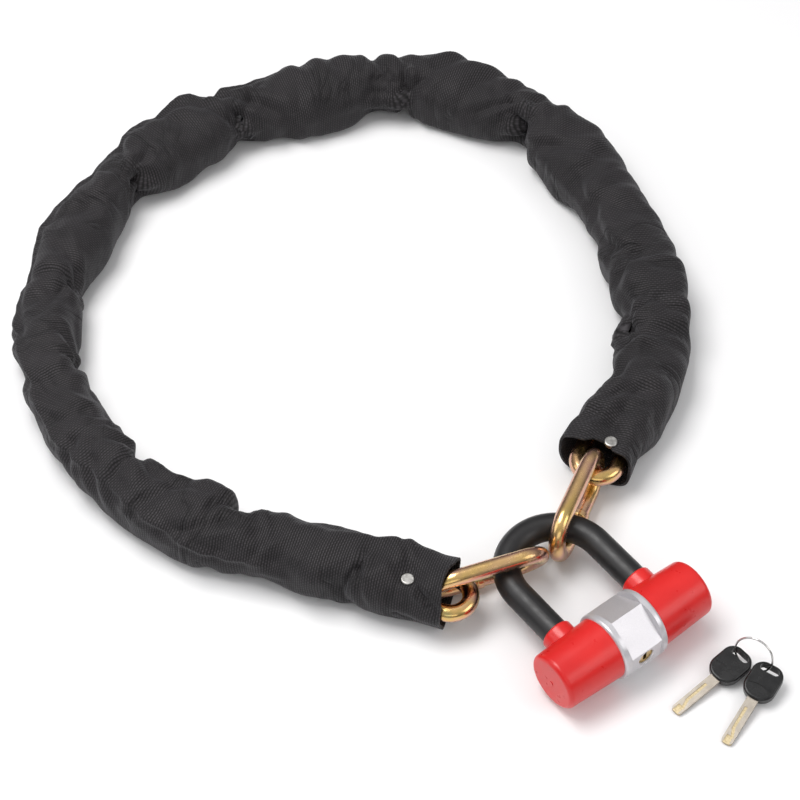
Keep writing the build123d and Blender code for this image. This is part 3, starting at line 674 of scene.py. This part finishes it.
def zinc(name, tint, smoothest):
    """Yellow zinc: gold with pink and green drifting along the wire, plus a painted reflection that turns grazing
    edges pink and dark olive.
    """
    m = new_material(name)
    co = m.coords()
    drift = m.noise(co, scale=26.0, detail=2.0, rough=0.5, dist=0.9)
    # painted reflection: the facing term pushes the colour towards pink and dark olive at grazing edges
    facing = m.new("ShaderNodeLayerWeight", {"Blend": 0.45}).outputs["Facing"]
    drift_and_edge_reflection = m.add(m.mul(drift, 0.72), m.mul(facing, 0.42))
    color = m.ramp(drift_and_edge_reflection, [(0.26, (0.52, 0.47, 0.20)), (0.38, (0.80, 0.56, 0.20)),
                          (0.50, (0.84, 0.55, 0.30)), (0.60, (0.76, 0.43, 0.36)),
                          (0.70, (0.80, 0.60, 0.30)), (0.84, (0.50, 0.44, 0.22))])
    color = m.mix(1.0, color, tint, "MULTIPLY")
    dirt = m.remap(m.noise(co, scale=95.0, detail=5.0, rough=0.7), (0.56, 0.74), (0.0, 0.5))
    color = m.mix(dirt, color, (0.30, 0.20, 0.085))    # brown dirt
    rough = m.add(m.remap(m.noise(co, scale=160.0, detail=4.0, rough=0.65),
                          (0.3, 0.75), (smoothest, smoothest + 0.16)), m.mul(dirt, 0.25))
    streak = m.noise(co, scale=420.0, rough=0.6)
    normal = m.bump(m.noise(co, scale=75.0), strength=0.18, distance=0.0010)
    normal = m.bump(streak, strength=0.10, distance=0.00018, normal=normal)
    return m.finish(Base_Color=color, Metallic=1.0, Roughness=rough, Normal=normal)


def metal(name, dark, light, rough, scale=300.0, strength=0.08):
    m = new_material(name)
    co = m.coords()
    broad = m.noise(co, scale=scale, detail=4.0, rough=0.6)
    fine = m.noise(co, scale=scale * 6, detail=2.0)
    color = m.mix(m.remap(broad, (0.3, 0.7), (0.0, 1.0)), dark, light)
    normal = m.bump(m.add(broad, m.mul(fine, 0.4)), strength=strength, distance=0.0002)
    return m.finish(Base_Color=color, Metallic=1.0,
                    Roughness=m.remap(broad, (0.25, 0.75), rough), Normal=normal)


# place of each key's own frame: x, y, heading and pitch in degrees
KEYS = {"key_1": (185.1, -255.4, 39.8, 5.8), "key_2": (217.0, -279.6, 56.4, 7.5)}
KEY_Z = 0.0013    # its height, in metres


def key_coords(m, key):
    """Coordinates in the key's own frame, x along the blade."""
    x, y, heading, pitch = KEYS[key]
    origin = ((x + OFFSET[0]) / 1000, (y + OFFSET[1]) / 1000, KEY_Z)
    vector = m.new("ShaderNodeVectorMath", {0: m.coords(), 1: origin},
                   operation="SUBTRACT").outputs[0]
    for axis, angle in (("Z_AXIS", -heading), ("Y_AXIS", pitch)):
        vector = m.new("ShaderNodeVectorRotate",
                       {"Angle": math.radians(angle), "Vector": vector},
                       rotation_type=axis).outputs[0]
    return vector


def blade(key):
    m = new_material(key + "_blade_metal")
    co = key_coords(m, key)
    _, y, z = m.xyz(co)
    # brass shows in the track cut along the blade
    deep = m.math("LESS_THAN", m.math("ABSOLUTE", z), 0.00122)
    core = m.math("LESS_THAN", m.math("ABSOLUTE", y), 0.0037)
    track = m.mul(deep, core)
    broad = m.noise(co, scale=160.0, detail=4.0, rough=0.6)
    # fine lengthwise lines
    squeezed = m.new("ShaderNodeMapping", {"Scale": (60.0, 2600.0, 60.0), "Vector": co})
    lines = m.noise(squeezed.outputs[0], scale=1.0, detail=2.0)
    nickel = m.mix(m.remap(broad, (0.3, 0.7), (0.0, 1.0)), (0.42, 0.375, 0.32),
                   (0.54, 0.49, 0.42))
    brass = m.mix(m.remap(m.noise(co, scale=900.0), (0.35, 0.65), (0.0, 1.0)),
                  (0.42, 0.34, 0.20), (0.62, 0.52, 0.33))
    color = m.mix(track, nickel, brass)
    normal = m.bump(lines, strength=0.10, distance=0.00012)
    rough = m.add(m.remap(lines, (0.3, 0.7), (0.26, 0.36)), m.mul(track, 0.10))
    return m.finish(Base_Color=color, Metallic=1.0, Roughness=rough, Normal=normal)


def bow():
    m = new_material("bow_plastic")
    co = m.coords()
    broad = m.noise(co, scale=120.0, detail=4.0)
    fine = m.noise(co, scale=2400.0, detail=2.0)
    color = m.ramp(broad, [(0.25, (0.0065, 0.0065, 0.007)), (0.75, (0.012, 0.012, 0.0125))])
    scuff = m.remap(m.noise(co, scale=260.0, detail=6.0, rough=0.8, dist=2.0),
                    (0.62, 0.74), (0.0, 0.12))
    color = m.mix(scuff, color, (0.10, 0.10, 0.10))    # grey scuffs
    normal = m.bump(fine, strength=0.15, distance=0.0001)
    return m.finish(Base_Color=color, Roughness=m.remap(broad, (0.3, 0.7), (0.20, 0.32)),
                    Normal=normal, Specular_IOR_Level=0.38)


MATERIALS = {
    "cover_red": red(),
    "collar_silver": silver(),
    "black_vinyl": vinyl(),
    "link_zinc": zinc("yellow_zinc_links", tint=(0.84, 0.79, 0.80), smoothest=0.15),
    "end_link_zinc": zinc("yellow_zinc_end_links", tint=(0.86, 0.83, 0.84), smoothest=0.17),
    "dark_steel": metal("dark_steel", dark=(0.20, 0.20, 0.21), light=(0.34, 0.34, 0.35),
                        rough=(0.3, 0.45)),
    "lock_brass": metal("lock_brass", dark=(0.60, 0.44, 0.18), light=(0.78, 0.60, 0.30),
                        rough=(0.22, 0.36)),
    "bright_steel": metal("bright_steel", dark=(0.50, 0.50, 0.51), light=(0.66, 0.66, 0.67),
                          rough=(0.18, 0.30)),
    "ring_steel": metal("ring_steel", dark=(0.56, 0.55, 0.54), light=(0.74, 0.73, 0.72),
                        rough=(0.12, 0.22), scale=500.0, strength=0.05),
    "rivet_metal": metal("rivet_metal", dark=(0.34, 0.33, 0.31), light=(0.60, 0.59, 0.57),
                         rough=(0.26, 0.42), scale=420.0, strength=0.4),
    "key_plastic": bow(),
    "sleeve_cloth": cloth(),
}
slots = {part["node"]: part["material_slot"] for part in frame["record"]["subparts"]}
blades = {key + "_blade": blade(key) for key in KEYS}
for name, ob in nodes.items():
    material = blades.get(name) or MATERIALS[slots[name]]
    if not ob.material_slots:
        ob.data.materials.append(material)
    for slot in ob.material_slots:
        slot.material = material

# each piece runs from mid run to mid run, around one joint
PIECE_JOINTS = ("bend_2", "bend_3", "chain_flex", "bend_5", "bend_6", "bend_7", "bend_8",
                "bend_9")
PIECES = len(PIECE_JOINTS)
run_mids = [(knots[RUN * i] + knots[RUN * i + RUN]) / 2 for i in range(1, PIECES)]
cuts = [0] + [int(round((mid - MOUTH_A) / ROW_STEP)) for mid in run_mids] + [rows]
for j, joint in enumerate(PIECE_JOINTS, 1):
    ob = sleeve_piece("sleeve_cloth_%d" % j, cuts[j - 1], cuts[j])
    ob.data.materials.append(MATERIALS["sleeve_cloth"])
    place = np.array(joints[joint]["pos_m"])
    _, heading, _ = line_at([knots[RUN * j]])
    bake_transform(ob)
    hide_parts("sleeve_%d" % j, *(["sleeve_9"] if j == PIECES else []))


# ------------------------------------------------------------------ stage, in metres
def floor_material():
    m = new_material("pale_floor")
    co = m.coords()
    color = m.ramp(m.noise(co, scale=3.0), [(0.3, (0.86, 0.86, 0.865)),
                                            (0.7, (0.90, 0.90, 0.905))])
    normal = m.bump(m.noise(co, scale=220.0, detail=2.0), strength=0.03, distance=0.0003)
    return m.finish(Base_Color=color, Roughness=0.75, Normal=normal, Specular_IOR_Level=0.2)


def add_floor(half=9.0, drop=0.0004):
    mesh = bpy.data.meshes.new("floor")
    corners = [(-half, -half, 0), (half, -half, 0), (half, half, 0), (-half, half, 0)]
    mesh.from_pydata(corners, [], [(0, 1, 2, 3)])
    floor = bpy.data.objects.new("floor", mesh)
    floor.location = (0, 0, -drop)
    bpy.context.scene.collection.objects.link(floor)
    mesh.materials.append(floor_material())
    floor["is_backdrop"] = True


def add_aimed(name, data, place, target):
    ob = bpy.data.objects.new(name, data)
    bpy.context.scene.collection.objects.link(ob)
    ob.location = place
    ob.rotation_mode = "QUATERNION"
    ob.rotation_quaternion = (Vector(target) - Vector(place)).to_track_quat("-Z", "Y")
    return ob


add_floor()
# name, place, target, width and height, power, colour
LIGHTS = (
    ("soft_top", (-0.55, 0.10, 1.75), (0.0, 0.0, 0.0), (1.1, 0.9), 24.0, (1.0, 0.99, 0.98)),
    ("soft_left", (-1.5, -0.3, 1.0), (0.0, 0.0, 0.02), (1.2, 1.0), 5.0, (0.98, 0.99, 1.0)),
    ("soft_right", (1.5, -0.7, 1.1), (0.05, -0.1, 0.02), (1.0, 0.9), 6.0, (1.0, 0.99, 0.98)),
    ("soft_front", (0.1, -1.7, 0.8), (0.05, -0.1, 0.02), (1.2, 0.6), 2.5, (1.0, 1.0, 1.0)),
)
for name, place, target, size, power, color in LIGHTS:
    light = bpy.data.lights.new(name, "AREA")
    light.shape = "RECTANGLE"
    light.size, light.size_y = size
    light.energy = power
    light.color = color
    add_aimed(name, light, place, target)

# sky brightness from straight down to straight up
SKY = ((0.0, 0.30), (0.22, 0.16), (0.55, 0.42), (0.92, 0.74))
world = bpy.data.worlds.new("studio")
w = Nodes(world)
up = w.xyz(w.new("ShaderNodeTexCoord").outputs["Generated"])[2]
background = w.tree.nodes["Background"]
w.feed(w.ramp(up, [(height, (v, v, v * 1.01)) for height, v in SKY]), background.inputs[0])
background.inputs[1].default_value = 1.0
bpy.context.scene.world = world
bpy.context.scene.view_settings.view_transform = "Standard"

middle_x, middle_y = OFFSET / 1000
camera = bpy.data.cameras.new("camera")
camera.lens, camera.sensor_width = 99.0, 36.0
camera.clip_start, camera.clip_end = 0.05, 30.0
bpy.context.scene.camera = add_aimed("camera", camera,
                                     place=(middle_x, middle_y - 1.024534, 1.285194),
                                     target=(middle_x, middle_y, 0.020))

low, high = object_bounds()
